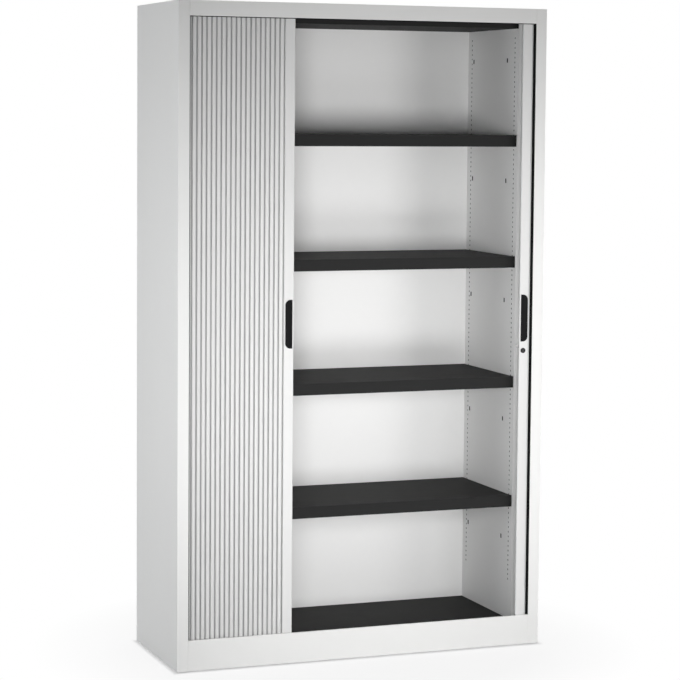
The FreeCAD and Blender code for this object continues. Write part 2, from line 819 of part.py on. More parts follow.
def end_stops():
    stops = []
    start = path.stop_from
    gap = size("track_half_gap")
    lower_seat = size("base_top") + size("track_floor")
    upper_seat = size("case_height") - size("header_drop") - size("track_floor")
    for seat, way in ((lower_seat, 1), (upper_seat, -1)):
        low = min(seat, seat + way * size("fence_height"))
        block = path.band((-gap, gap), start, start + size("stop_length"), low, low + size("fence_height"))
        stops.extend([block, on_side(block, -1)])
    return solid("track_end_stops", Part.makeCompound(stops))


end_stops()


# Leading rails: hollow extrusions with the slats' hook along the trailing edge

rail_low = f"({track_top} + fence_height + rail_play)"
rail_high = f"({header_low} - track_floor - fence_height - rail_play)"
rail_front = f"({curtain_line} - rail_half)"
rail_back = f"({curtain_line} + rail_half)"


def rail(name, side, lead):
    """lead is the distance of the leading edge from the middle."""
    made = body(name)
    trail = f"({lead} + rail_width)"
    pivot = f"({trail} + wall_back)"
    outline = [
        (lead, f"{rail_front} + rail_edge"),
        (f"{lead} + rail_edge", rail_front),
        (f"{trail} - rail_edge", rail_front),
        (trail, f"{rail_front} + rail_edge"),
        (trail, f"{curtain_line} + hook_root"),
        (f"{pivot} - hook_left", f"{curtain_line} + hook_root"),
        (f"{pivot} - hook_left", f"{curtain_line} - hook_rise"),
        (f"{pivot} + hook_right", f"{curtain_line} - hook_rise"),
        (f"{pivot} + hook_right", f"{curtain_line} + slat_half"),
        (trail, f"{curtain_line} + slat_half"),
        (trail, rail_back),
        (lead, rail_back),
    ]
    hollow = box_outline(f"{lead} + rail_wall", f"{trail} - rail_wall",
                         f"{rail_front} + rail_wall", f"{rail_back} - rail_wall")
    outlines = [mirrored(side, outline), mirrored(side, hollow)]
    pad(made, draw(made, name + "_profile", "XY_Plane", outlines, rail_low), f"{rail_high} - {rail_low}")
    return made


left_rail = rail("left_rail", -1, left_rest_lead)
right_rail = rail("right_rail", 1, open_lead)

# Each rail's front wall has a window for the spigot of its grip
grip_low = "(grip_height - grip_length / 2)"
grip_high = "(grip_height + grip_length / 2)"


def grip_window(side, lead):
    middle = f"{lead} + rail_width / 2"
    return mirrored(side, box_outline(f"{middle} - grip_width / 2 + spigot_inset",
                                      f"{middle} + grip_width / 2 - spigot_inset",
                                      f"{grip_low} + grip_corner", f"{grip_high} - grip_corner"))


for owner, side, lead in ((left_rail, -1, left_rest_lead), (right_rail, 1, open_lead)):
    pocket(owner, draw(owner, owner.Name + "_window", "XZ_Plane", [grip_window(side, lead)],
                       f"cut_overrun - {rail_front}"), "cut_overrun + rail_wall")

# Both leading walls have a slot that the hook of the lock swings through
lock_x = f"({open_lead} + lock_inset)"
lock_z = f"({grip_low} - lock_drop)"
slot_low = f"({lock_z} - bolt_wide / 2 - bolt_play)"
slot_high = f"({lock_z} + bolt_reach)"
hook_slot = box_outline(f"{curtain_line} - bolt_thick / 2 - bolt_play",
                        f"{curtain_line} + bolt_thick / 2 + bolt_play", slot_low, slot_high)
pocket(left_rail, draw(left_rail, "left_rail_slot", "YZ_Plane", [hook_slot],
                       f"cut_overrun - {left_rest_lead}"), "cut_overrun + rail_wall")
pocket(right_rail, draw(right_rail, "right_rail_slot", "YZ_Plane", [hook_slot], f"{open_lead} + rail_wall"),
       "cut_overrun + rail_wall")
pocket(right_rail, draw(right_rail, "right_rail_lock_hole", "XZ_Plane", [], f"cut_overrun - {rail_front}",
                        [(lock_x, lock_z, "lock_neck")]), "cut_overrun + rail_wall")


# Guide shoes under and over the leading edge of each rail run in the straight track

def rail_shoes(name, side):
    """One shoe at each end of the rail, between the rail and the floor of the track."""
    half = size("track_half_gap") - size("shoe_play")
    near = lead_of(side) + size("shoe_inset")
    low, high = slat_height()
    fences = size("fence_height") + size("rail_play")
    length = fences - size("slat_play")
    eased = []
    for shoe_low in (low, high - length):
        corner = FreeCAD.Vector(near, path.line - half, shoe_low)
        shoe = Part.makeBox(size("shoe_length"), 2 * half, length, corner)
        upright = [edge for edge in shoe.Edges if edge.BoundBox.ZLength > length / 2]
        eased.append(on_side(shoe.makeChamfer(size("shoe_chamfer"), upright), side))
    return solid(name, Part.makeCompound(eased))


rail_shoes("left_rail_shoes", -1)
rail_shoes("right_rail_shoes", 1)


# Grips: D-shaped, straight along the leading side with a hollow ramp for the fingers

def grip(name, side, lead):
    made = body(name)
    near = f"({lead} + rail_width / 2 - grip_width / 2)"
    far = f"({lead} + rail_width / 2 + grip_width / 2)"
    outline = mirrored(side, box_outline(near, far, grip_low, grip_high))
    plate = pad(made, draw(made, name + "_plate", "XZ_Plane", [outline], f"0 - {rail_front}"), "grip_proud")
    doc.recompute()
    trailing = lead_of(side) + size("rail_width") / 2 + size("grip_width") / 2
    slack = size("fold_gap")
    corners = made.newObject("PartDesign::Fillet", name + "_corners")
    corners.Base = (plate, edges_where(plate.Shape, lambda edge: edge.BoundBox.YLength > slack
                                       and abs(abs(edge.CenterOfMass.x) - trailing) < slack))
    corners.setExpression("Radius", bound("grip_corner"))
    doc.recompute()
    front_y = path.line - size("rail_half") - size("grip_proud")
    leading = trailing - size("grip_width")
    rim = made.newObject("PartDesign::Chamfer", name + "_rim")
    rim.Base = (corners, edges_where(corners.Shape, lambda edge: abs(edge.CenterOfMass.y - front_y) < slack
                                     and edge.BoundBox.YLength < slack
                                     and abs(abs(edge.CenterOfMass.x) - leading) > slack))
    rim.setExpression("Size", bound("grip_bevel"))
    pocket(made, draw(made, name + "_ramp", "XY_Plane", [], f"{grip_high} + cut_overrun", [
        (f"{side} * ({near} + scoop_inset)", f"{rail_front} - scoop_floor - scoop_radius", "scoop_radius")]),
        "grip_length + 2 * cut_overrun")
    spigot = [grip_window(side, lead)]
    pad(made, draw(made, name + "_spigot", "XZ_Plane", spigot, f"0 - {rail_front} - grip_sunk"), "grip_sunk")
    return made


grip("left_grip", -1, left_rest_lead)
grip("right_grip", 1, open_lead)

# Lock housing: a rim on the front of the rail and a neck through its wall, bored for the barrel
lock_housing = body("lock_housing")
pad(lock_housing, draw(lock_housing, "lock_rim", "XZ_Plane", [], f"0 - {rail_front}",
                       [(lock_x, lock_z, "lock_radius")]), "lock_proud")
pad(lock_housing, draw(lock_housing, "lock_neck_ring", "XZ_Plane", [], f"0 - {rail_front} - lock_seat",
                       [(lock_x, lock_z, "lock_neck")]), "lock_seat")
pocket(lock_housing, draw(lock_housing, "lock_bore", "XZ_Plane", [], f"lock_proud + cut_overrun - {rail_front}",
                          [(lock_x, lock_z, "barrel_radius + barrel_play")]),
       "lock_proud + lock_seat + 2 * cut_overrun")

# Lock barrel: a face with a key slot, and a tail that carries the hook
hook_front = f"({curtain_line} - bolt_thick / 2)"
barrel_face = f"({rail_front} - lock_proud - barrel_proud)"
tail_square = box_outline(f"{lock_x} - barrel_tail", f"{lock_x} + barrel_tail",
                          f"{lock_z} - barrel_tail", f"{lock_z} + barrel_tail")
lock_barrel = body("lock_barrel")
pad(lock_barrel, draw(lock_barrel, "barrel_round", "XZ_Plane", [], f"0 - {hook_front}",
                      [(lock_x, lock_z, "barrel_radius")]), f"{hook_front} - {barrel_face}")
pad(lock_barrel, draw(lock_barrel, "barrel_square", "XZ_Plane", [tail_square],
                      f"0 - {hook_front} - barrel_tail_length"), "barrel_tail_length")
pocket(lock_barrel, draw(lock_barrel, "key_slot", "XZ_Plane", [box_outline(
    f"{lock_x} - key_slot_wide / 2", f"{lock_x} + key_slot_wide / 2",
    f"{lock_z} - key_slot_long / 2", f"{lock_z} + key_slot_long / 2")],
    f"cut_overrun - {barrel_face}"), "cut_overrun + key_slot_deep")


# Lock hook: a flat arm with a nose, drawn half turned out of the rail

def arm_spot(along, across):
    """A corner of the arm: along it from the barrel, and across it towards the side of the nose."""
    return (f"{lock_x} - ({along}) * cos(bolt_angle) - ({across}) * sin(bolt_angle)",
            f"{lock_z} + ({along}) * sin(bolt_angle) - ({across}) * cos(bolt_angle)")


lock_hook = body("lock_hook")
hook_lift = f"0 - {curtain_line} - bolt_thick / 2"
pad(lock_hook, draw(lock_hook, "hook_arm", "XZ_Plane", [[
    arm_spot("0 - barrel_radius", "0 - barrel_tail"),
    arm_spot("0 - barrel_tail", "0 - barrel_radius"),
    arm_spot("barrel_tail", "0 - barrel_radius"),
    arm_spot("barrel_radius", "0 - bolt_wide / 2"),
    arm_spot("bolt_reach - bolt_nose_wide", "0 - bolt_wide / 2"),
    arm_spot("bolt_reach", "0"),
    arm_spot("bolt_reach", "bolt_wide / 2 + bolt_nose_drop"),
    arm_spot("bolt_reach - bolt_nose_wide", "bolt_wide / 2 + bolt_nose_drop"),
    arm_spot("bolt_reach - bolt_nose_wide", "bolt_wide / 2"),
    arm_spot("barrel_radius", "bolt_wide / 2"),
    arm_spot("barrel_tail", "barrel_radius"),
    arm_spot("0 - barrel_tail", "barrel_radius"),
    arm_spot("0 - barrel_radius", "barrel_tail"),
], tail_square], hook_lift), "bolt_thick")

# Lock keeper: a plate behind the leading wall of the left rail, with the same slot
lock_keeper = body("lock_keeper")
pad(lock_keeper, draw(lock_keeper, "keeper_plate", "YZ_Plane", [box_outline(
    f"{rail_front} + rail_wall + fold_gap", f"{rail_back} - rail_wall - fold_gap",
    f"{slot_low} - keeper_margin", f"{slot_high} + keeper_margin"), hook_slot],
    f"0 - {left_rest_lead} - rail_wall - keeper_thick"), "keeper_thick")


# Levelling feet: a pad on a stud that screws through a bracket in the base box

def hexagon(place, radius):
    """Six corners round a place, as sums of the sizes."""
    return [(f"{place[0]} + {radius} * cos({60 * k})", f"{place[1]} + {radius} * sin({60 * k})")
            for k in range(6)]


def foot(name, side, end):
    made = body(name)
    place = (f"{side} * ({half_width} - foot_inset_x)", f"{end} * (case_depth / 2 - foot_inset_y)")
    pad(made, draw(made, name + "_base", "XY_Plane", [hexagon(place, "pad_radius")], "0"), "pad_height")
    stud = draw(made, name + "_stud", "XY_Plane", [], "pad_height", [(*place, "stud_radius")])
    pad(made, stud, "stud_length")
    return made


def foot_bracket(name, side, end):
    made = body(name)
    place = (f"{side} * ({half_width} - foot_inset_x)", f"{end} * (case_depth / 2 - foot_inset_y)")
    outline = mirrored(side, box_outline(f"{inner_face} + 2 * sheet", f"{wall} - sheet",
                                         f"{place[1]} - bracket_length / 2", f"{place[1]} + bracket_length / 2"))
    nut_seat = "(bracket_height + bracket_thick)"
    pad(made, draw(made, name + "_plate", "XY_Plane", [outline], "bracket_height"), "bracket_thick")
    pad(made, draw(made, name + "_nut", "XY_Plane", [hexagon(place, "boss_radius")], nut_seat), "boss_height")
    thread = draw(made, name + "_thread", "XY_Plane", [], f"{nut_seat} + boss_height + cut_overrun",
                  [(*place, "stud_radius + stud_play")])
    pocket(made, thread, "bracket_thick + boss_height + 2 * cut_overrun")
    return made


for word, side in (("left", -1), ("right", 1)):
    for place, end in (("front", -1), ("rear", 1)):
        foot(f"{place}_{word}_foot", side, end)
        foot_bracket(f"{place}_{word}_foot_bracket", side, end)

# Every sub-part is checked before any file is written
doc.recompute()
for item in doc.Objects:
    if "Invalid" in item.State or "Error" in item.State:
        raise RuntimeError(f"{item.Label} is in the state {item.State}")
pieces = [item for item in doc.Objects if item.TypeId in ("PartDesign::Body", "Part::Feature")]
for piece in pieces:
    if piece.Shape.isNull() or not piece.Shape.isValid() or not piece.Shape.Solids:
        raise RuntimeError(f"{piece.Label} has no sound shape")
os.makedirs("parts", exist_ok=True)
for piece in pieces:
    piece.Shape.exportStep(f"parts/{piece.Label}.step")
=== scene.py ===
import math

import bmesh
import bpy
from mathutils import Matrix, Vector


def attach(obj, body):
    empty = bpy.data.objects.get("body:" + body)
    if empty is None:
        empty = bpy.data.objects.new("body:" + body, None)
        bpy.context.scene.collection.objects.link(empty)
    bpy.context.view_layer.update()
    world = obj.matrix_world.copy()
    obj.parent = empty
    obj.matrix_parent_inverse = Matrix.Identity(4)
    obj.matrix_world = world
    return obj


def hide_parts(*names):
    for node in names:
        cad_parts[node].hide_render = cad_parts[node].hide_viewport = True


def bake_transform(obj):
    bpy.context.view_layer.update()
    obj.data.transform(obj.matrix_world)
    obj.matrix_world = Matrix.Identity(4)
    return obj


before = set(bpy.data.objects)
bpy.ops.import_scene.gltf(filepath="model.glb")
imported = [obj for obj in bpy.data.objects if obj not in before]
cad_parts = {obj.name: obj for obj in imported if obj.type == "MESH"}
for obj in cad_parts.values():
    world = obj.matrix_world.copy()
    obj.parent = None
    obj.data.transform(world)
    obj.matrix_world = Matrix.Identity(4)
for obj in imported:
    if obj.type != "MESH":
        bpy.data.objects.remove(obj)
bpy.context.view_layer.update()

MM = 0.001


# Camera
# The photograph is taken from the left of the cabinet at head height, with a long lens that keeps the
# uprights nearly parallel.
IMAGE_SIDE = 680
SENSOR_WIDTH = 36
focal_pixels = 2263.6
camera_place = (-2.484, -6.547, 1.654)
camera_turn = 20.776
camera_dip = 4.508
camera_roll = 0.466
camera_shift = -0.07

camera_data = bpy.data.cameras.new("camera")
camera_data.sensor_width = SENSOR_WIDTH
camera_data.lens = focal_pixels / IMAGE_SIDE * SENSOR_WIDTH
camera_data.shift_y = camera_shift
camera_data.clip_end = 100
camera = bpy.data.objects.new("camera", camera_data)
bpy.context.scene.collection.objects.link(camera)
camera.matrix_world = (Matrix.Translation(camera_place)
                       @ Matrix.Rotation(-math.radians(camera_turn), 4, "Z")
                       @ Matrix.Rotation(math.radians(90 - camera_dip), 4, "X")
                       @ Matrix.Rotation(math.radians(camera_roll), 4, "Z"))
bpy.context.scene.camera = camera
bpy.context.scene.view_settings.view_transform = "Standard"


# Studio floor, backdrop and lamps
# A white paper floor that runs out into a white room, so that only the soft shadow near the plinth shows.
# Broad lamps stand round the object between waist and chest height, so its light fades a little towards the
# top, and one hangs over it for the top panel.
def new_material(name):
    """A material with a cleared node tree, and the tree's nodes and links."""
    material = bpy.data.materials.new(name)
    material.use_nodes = True
    material.node_tree.nodes.clear()
    return material, material.node_tree.nodes, material.node_tree.links


def seen_directly(nodes, links):
    """1 for rays that reach the eye straight, by a mirror or through glass, and 0 for light on the object."""
    path = nodes.new("ShaderNodeLightPath")
    total = path.outputs["Is Camera Ray"]
    for kind in ("Is Glossy Ray", "Is Transmission Ray"):
        either = nodes.new("ShaderNodeMath")
        either.operation = "MAXIMUM"
        links.new(total, either.inputs[0])
        links.new(path.outputs[kind], either.inputs[1])
        total = either.outputs[0]
    return total


room_light = 0.10
world = bpy.data.worlds.new("white_room")
bpy.context.scene.world = world
world.use_nodes = True
world_nodes, world_links = world.node_tree.nodes, world.node_tree.links
world_nodes.clear()
soft_light = world_nodes.new("ShaderNodeBackground")
soft_light.inputs["Color"].default_value = (0.96, 0.98, 1.0, 1)
soft_light.inputs["Strength"].default_value = room_light
white_wall = world_nodes.new("ShaderNodeBackground")
white_wall.inputs["Color"].default_value = (1, 1, 1, 1)
white_wall.inputs["Strength"].default_value = 1
world_mix = world_nodes.new("ShaderNodeMixShader")
world_out = world_nodes.new("ShaderNodeOutputWorld")
world_links.new(seen_directly(world_nodes, world_links), world_mix.inputs["Fac"])
world_links.new(soft_light.outputs[0], world_mix.inputs[1])
world_links.new(white_wall.outputs[0], world_mix.inputs[2])
world_links.new(world_mix.outputs[0], world_out.inputs["Surface"])

floor_reach = 14
shadow_reach = (0.60, 0.95)
shadow_share = 0.86
paper, nodes, links = new_material("floor_paper")
paper_place = nodes.new("ShaderNodeNewGeometry")
paper_away = nodes.new("ShaderNodeVectorMath")
paper_away.operation = "LENGTH"
paper_fade = nodes.new("ShaderNodeMapRange")
paper_fade.inputs["From Min"].default_value = shadow_reach[0]
paper_fade.inputs["From Max"].default_value = shadow_reach[1]
paper_fade.inputs["To Min"].default_value = shadow_share
paper_fade.inputs["To Max"].default_value = 1
paper_seen = nodes.new("ShaderNodeMath")
paper_seen.operation = "MULTIPLY"
paper_matt = nodes.new("ShaderNodeBsdfDiffuse")
paper_matt.inputs["Color"].default_value = (0.92, 0.92, 0.92, 1)
paper_glow = nodes.new("ShaderNodeEmission")
paper_glow.inputs["Color"].default_value = (1, 1, 1, 1)
paper_mix = nodes.new("ShaderNodeMixShader")
paper_out = nodes.new("ShaderNodeOutputMaterial")
links.new(paper_place.outputs["Position"], paper_away.inputs[0])
links.new(paper_away.outputs["Value"], paper_fade.inputs["Value"])
# A painted contact shadow: in a thin band round the cabinet's footprint the white glow is cut back, so the floor
# reads darker right at its foot.
foot_half = (0.59, 0.22)
foot_shadow_band = (0.004, 0.016)
foot_shadow_band_share = 0.45
foot_place = nodes.new("ShaderNodeSeparateXYZ")
foot_away = nodes.new("ShaderNodeMath")
foot_away.operation = "MAXIMUM"
foot_fade = nodes.new("ShaderNodeMapRange")
foot_fade.inputs["From Min"].default_value = foot_shadow_band[0]
foot_fade.inputs["From Max"].default_value = foot_shadow_band[1]
foot_fade.inputs["To Min"].default_value = foot_shadow_band_share
foot_fade.inputs["To Max"].default_value = 1
paper_share = nodes.new("ShaderNodeMath")
paper_share.operation = "MULTIPLY"
links.new(paper_place.outputs["Position"], foot_place.inputs[0])
for axis, half in enumerate(foot_half):
    size = nodes.new("ShaderNodeMath")
    size.operation = "ABSOLUTE"
    past = nodes.new("ShaderNodeMath")
    past.operation = "SUBTRACT"
    past.inputs[1].default_value = half
    links.new(foot_place.outputs[axis], size.inputs[0])
    links.new(size.outputs[0], past.inputs[0])
    links.new(past.outputs[0], foot_away.inputs[axis])
links.new(foot_away.outputs[0], foot_fade.inputs["Value"])
links.new(paper_fade.outputs["Result"], paper_share.inputs[0])
links.new(foot_fade.outputs["Result"], paper_share.inputs[1])
links.new(paper_share.outputs[0], paper_seen.inputs[0])
links.new(seen_directly(nodes, links), paper_seen.inputs[1])
links.new(paper_seen.outputs[0], paper_mix.inputs["Fac"])
links.new(paper_matt.outputs[0], paper_mix.inputs[1])
links.new(paper_glow.outputs[0], paper_mix.inputs[2])
links.new(paper_mix.outputs[0], paper_out.inputs["Surface"])

floor_mesh = bpy.data.meshes.new("studio_floor")
floor_mesh.from_pydata([(-floor_reach, -floor_reach, 0), (floor_reach, -floor_reach, 0),
                        (floor_reach, floor_reach, 0), (-floor_reach, floor_reach, 0)], [], [(0, 1, 2, 3)])
floor_mesh.materials.append(paper)
studio_floor = bpy.data.objects.new("studio_floor", floor_mesh)
bpy.context.scene.collection.objects.link(studio_floor)


def lamp(name, place, aim, size, power, colour, spread=180):
    """A broad square lamp at a place, aimed at a point. The spread in degrees says how far it opens."""
    data = bpy.data.lights.new(name, "AREA")
    data.shape = "RECTANGLE"
    data.size, data.size_y = size
    data.energy = power
    data.color = colour
    data.spread = math.radians(spread)
    made = bpy.data.objects.new(name, data)
    bpy.context.scene.collection.objects.link(made)
    made.location = place
    made.rotation_mode = "QUATERNION"
    made.rotation_quaternion = (Vector(aim) - Vector(place)).to_track_quat("-Z", "Y")


lamp("right_front_lamp", (2.2, -3.0, 1.0), (0.2, 0, 1.1), (1.4, 1.2), 14.5, (1, 0.99, 0.985))
lamp("right_beam_lamp", (2.0, -3.2, 1.2), (0.2, 0, 1.2), (1.0, 0.8), 1.9, (1, 0.99, 0.985), 50)
lamp("left_lamp", (-2.7, -0.3, 1.15), (-0.5, 0, 1.1), (1.0, 1.0), 21, (0.97, 0.985, 1))
lamp("left_beam_lamp", (-1.4, -3.4, 1.15), (0.1, 0, 1.1), (1.0, 0.8), 6.3, (1, 1, 1), 50)
lamp("low_lamp", (0.3, -2.6, 0.3), (0.1, 0, 0.3), (1.6, 0.5), 4.6, (1, 1, 1), 70)
lamp("back_lamp", (1.9, 3.3, 1.2), (0, 0, 1.0), (1.6, 1.4), 32, (1, 1, 1))
lamp("right_lamp", (3.4, 1.2, 1.1), (0.4, 0, 1.0), (1.4, 1.4), 17, (1, 1, 1))
lamp("top_lamp", (0.2, 1.0, 3.7), (0, 0.1, 1.9), (1.6, 1.2), 26, (1, 1, 1))


# Painted case
# Folded sheet steel, 1 mm thick, powder coated in a satin off-white: two sides with narrow stiles, a top,
# a back, a shallow rail over the opening and a plinth under it. The folds meet in open hairline seams.
def add_group(name, inputs, outputs):
    """An empty shader node group with its sockets, its nodes and links, and its input and output nodes."""
    tree = bpy.data.node_groups.new(name, "ShaderNodeTree")
    for socket, kind, value in inputs:
        made = tree.interface.new_socket(socket, in_out="INPUT", socket_type=kind)
        made.default_value = value
    for socket, kind in outputs:
        tree.interface.new_socket(socket, in_out="OUTPUT", socket_type=kind)
    return tree, tree.nodes, tree.links, tree.nodes.new("NodeGroupInput"), tree.nodes.new("NodeGroupOutput")


FLOAT = "NodeSocketFloat"

# cloudy_tone: slow patches over a whole panel and finer mottling inside them, from 0 to 1
cloudy_tone, nodes, links, given, result = add_group(
    "cloudy_tone", [("Patch Scale", FLOAT, 2.0), ("Mottle Scale", FLOAT, 40.0), ("Mottle Share", FLOAT, 0.3)],
    [("Tone", FLOAT)])
where = nodes.new("ShaderNodeNewGeometry")
patches = nodes.new("ShaderNodeTexNoise")
patches.inputs["Detail"].default_value = 3
mottle = nodes.new("ShaderNodeTexNoise")
mottle.inputs["Detail"].default_value = 2
tone_mix = nodes.new("ShaderNodeMix")
links.new(where.outputs["Position"], patches.inputs["Vector"])
links.new(where.outputs["Position"], mottle.inputs["Vector"])
links.new(given.outputs["Patch Scale"], patches.inputs["Scale"])
links.new(given.outputs["Mottle Scale"], mottle.inputs["Scale"])
links.new(given.outputs["Mottle Share"], tone_mix.inputs[0])
links.new(patches.outputs["Fac"], tone_mix.inputs[2])
links.new(mottle.outputs["Fac"], tone_mix.inputs[3])
links.new(tone_mix.outputs[0], result.inputs["Tone"])

# rubbed_edges: 1 along edges where the normal of a rounded copy leaves the real one, broken up by noise
rubbed_edges, nodes, links, given, result = add_group(
    "rubbed_edges", [("Width", FLOAT, 0.001), ("Breakup Scale", FLOAT, 60.0), ("Amount", FLOAT, 0.5)],
    [("Mask", FLOAT)])
where = nodes.new("ShaderNodeNewGeometry")
rounded = nodes.new("ShaderNodeBevel")
rounded.samples = 4
facing = nodes.new("ShaderNodeVectorMath")
facing.operation = "DOT_PRODUCT"
turned = nodes.new("ShaderNodeMapRange")
turned.inputs["From Min"].default_value = 0.995
turned.inputs["From Max"].default_value = 0.80
breakup = nodes.new("ShaderNodeTexNoise")
breakup.inputs["Detail"].default_value = 4
worn = nodes.new("ShaderNodeMapRange")
worn.inputs["From Min"].default_value = 0.42
worn.inputs["From Max"].default_value = 0.66
edge_only = nodes.new("ShaderNodeMath")
edge_only.operation = "MULTIPLY"
amount = nodes.new("ShaderNodeMath")
amount.operation = "MULTIPLY"
links.new(given.outputs["Width"], rounded.inputs["Radius"])
links.new(rounded.outputs["Normal"], facing.inputs[0])
links.new(where.outputs["Normal"], facing.inputs[1])
links.new(facing.outputs["Value"], turned.inputs["Value"])
links.new(where.outputs["Position"], breakup.inputs["Vector"])
links.new(given.outputs["Breakup Scale"], breakup.inputs["Scale"])
links.new(breakup.outputs["Fac"], worn.inputs["Value"])
links.new(turned.outputs["Result"], edge_only.inputs[0])
links.new(worn.outputs["Result"], edge_only.inputs[1])
links.new(edge_only.outputs[0], amount.inputs[0])
links.new(given.outputs["Amount"], amount.inputs[1])
links.new(amount.outputs[0], result.inputs["Mask"])

# settled_dust: 1 on faces that look up, in loose drifts
settled_dust, nodes, links, given, result = add_group(
    "settled_dust", [("Drift Scale", FLOAT, 12.0), ("Amount", FLOAT, 0.5)], [("Mask", FLOAT)])
where = nodes.new("ShaderNodeNewGeometry")
split = nodes.new("ShaderNodeSeparateXYZ")
upward = nodes.new("ShaderNodeMapRange")
upward.inputs["From Min"].default_value = 0.6
upward.inputs["From Max"].default_value = 1.0
drifts = nodes.new("ShaderNodeTexNoise")
drifts.inputs["Detail"].default_value = 5
lying = nodes.new("ShaderNodeMath")
lying.operation = "MULTIPLY"
amount = nodes.new("ShaderNodeMath")
amount.operation = "MULTIPLY"
links.new(where.outputs["Normal"], split.inputs[0])
links.new(split.outputs["Z"], upward.inputs["Value"])
links.new(where.outputs["Position"], drifts.inputs["Vector"])
links.new(given.outputs["Drift Scale"], drifts.inputs["Scale"])
links.new(upward.outputs["Result"], lying.inputs[0])
links.new(drifts.outputs["Fac"], lying.inputs[1])
links.new(lying.outputs[0], amount.inputs[0])
links.new(given.outputs["Amount"], amount.inputs[1])
links.new(amount.outputs[0], result.inputs["Mask"])

# skin_height: the small relief of a coated or moulded surface, for a Bump node
skin_height, nodes, links, given, result = add_group(
    "skin_height", [("Grain Scale", FLOAT, 900.0), ("Wave Scale", FLOAT, 160.0), ("Wave Share", FLOAT, 0.4),
                    ("Stretch Up", FLOAT, 1.0)], [("Height", FLOAT)])
where = nodes.new("ShaderNodeNewGeometry")
stretch = nodes.new("ShaderNodeCombineXYZ")
stretch.inputs["X"].default_value = 1
stretch.inputs["Y"].default_value = 1
scaled = nodes.new("ShaderNodeVectorMath")
scaled.operation = "MULTIPLY"
grain = nodes.new("ShaderNodeTexNoise")
grain.inputs["Detail"].default_value = 2
waves = nodes.new("ShaderNodeTexNoise")
waves.inputs["Detail"].default_value = 1
relief = nodes.new("ShaderNodeMix")
links.new(given.outputs["Stretch Up"], stretch.inputs["Z"])
links.new(where.outputs["Position"], scaled.inputs[0])
links.new(stretch.outputs[0], scaled.inputs[1])
links.new(scaled.outputs[0], grain.inputs["Vector"])
links.new(scaled.outputs[0], waves.inputs["Vector"])
links.new(given.outputs["Grain Scale"], grain.inputs["Scale"])
links.new(given.outputs["Wave Scale"], waves.inputs["Scale"])
links.new(given.outputs["Wave Share"], relief.inputs[0])
links.new(grain.outputs["Fac"], relief.inputs[2])
links.new(waves.outputs["Fac"], relief.inputs[3])
links.new(relief.outputs[0], result.inputs["Height"])


def place_group(nodes, tree, **values):
    """A group in a material, with its own values."""
    made = nodes.new("ShaderNodeGroup")
    made.node_tree = tree
    for socket, value in values.items():
        made.inputs[socket.replace("_", " ")].default_value = value
    return made


def blend_colours(nodes, links, share, low, high):
    """A colour between two colours or colour sockets, by a socket from 0 to 1."""
    made = nodes.new("ShaderNodeMix")
    made.data_type = "RGBA"
    links.new(share, made.inputs[0])
    for socket, colour in ((made.inputs[6], low), (made.inputs[7], high)):
        if isinstance(colour, tuple):
            socket.default_value = (*colour, 1)
        else:
            links.new(colour, socket)
    return made.outputs[2]


def spread_value(nodes, links, share, low, high):
    """A socket from 0 to 1 laid out between two values."""
    made = nodes.new("ShaderNodeMapRange")
    made.inputs["To Min"].default_value = low
    made.inputs["To Max"].default_value = high
    links.new(share, made.inputs["Value"])
    return made.outputs["Result"]


def finish_material(name, colours, rough, tone, edge, dust, skin, bump, metal=0.0, specular=0.5):
    """A worn surface: two tones, rubbed edges, dust on top and a fine relief, each from its own group."""
    material, nodes, links = new_material(name)
    shader = nodes.new("ShaderNodeBsdfPrincipled")
    out = nodes.new("ShaderNodeOutputMaterial")
    links.new(shader.outputs[0], out.inputs["Surface"])
    shader.inputs["Metallic"].default_value = metal
    shader.inputs["Specular IOR Level"].default_value = specular
    cloud = place_group(nodes, cloudy_tone, **tone)
    rub = place_group(nodes, rubbed_edges, **edge)
    lying = place_group(nodes, settled_dust, **dust)
    relief = place_group(nodes, skin_height, **skin)
    base = blend_colours(nodes, links, cloud.outputs["Tone"], colours["dark"], colours["light"])
    base = blend_colours(nodes, links, rub.outputs["Mask"], base, colours["rubbed"])
    base = blend_colours(nodes, links, lying.outputs["Mask"], base, colours["dust"])
    links.new(base, shader.inputs["Base Color"])
    links.new(spread_value(nodes, links, cloud.outputs["Tone"], *rough), shader.inputs["Roughness"])
    lift = nodes.new("ShaderNodeBump")
    lift.inputs["Strength"].default_value = bump[0]
    lift.inputs["Distance"].default_value = bump[1]
    links.new(relief.outputs["Height"], lift.inputs["Height"])
    links.new(lift.outputs["Normal"], shader.inputs["Normal"])
    return material


white_coat = finish_material(
    "satin_white_coat",
    {"dark": (0.765, 0.765, 0.755), "light": (0.815, 0.815, 0.805), "rubbed": (0.70, 0.70, 0.69),
     "dust": (0.72, 0.71, 0.69)},
    (0.36, 0.48), {"Patch_Scale": 1.6, "Mottle_Scale": 45.0, "Mottle_Share": 0.25},
    {"Width": 0.0012, "Breakup_Scale": 35.0, "Amount": 0.35}, {"Drift_Scale": 9.0, "Amount": 0.35},
    {"Grain_Scale": 1400.0, "Wave_Scale": 260.0, "Wave_Share": 0.5, "Stretch_Up": 1.0}, (0.10, 0.00025))


weld_reach = 0.002
sharp_above = 40


def dress(names, material, edge_round=0.3):
    """Gives CAD pieces their finish, and rounds their sharp edges a little."""
    for name in names:
        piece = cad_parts[name]
        for slot in piece.material_slots:
            slot.material = material
        weld = piece.modifiers.new("weld", "WELD")
        weld.merge_threshold = weld_reach * MM
        ease = piece.modifiers.new("ease", "BEVEL")
        ease.width = edge_round * MM
        ease.segments = 2
        ease.limit_method = "ANGLE"
        ease.angle_limit = math.radians(sharp_above)
        piece.data.polygons.foreach_set("use_smooth", [True] * len(piece.data.polygons))
        even = piece.modifiers.new("even", "WEIGHTED_NORMAL")
        even.keep_sharp = True


dress(["left_side_panel", "right_side_panel", "top_panel", "top_rail", "bottom_rail", "back_panel"], white_coat)


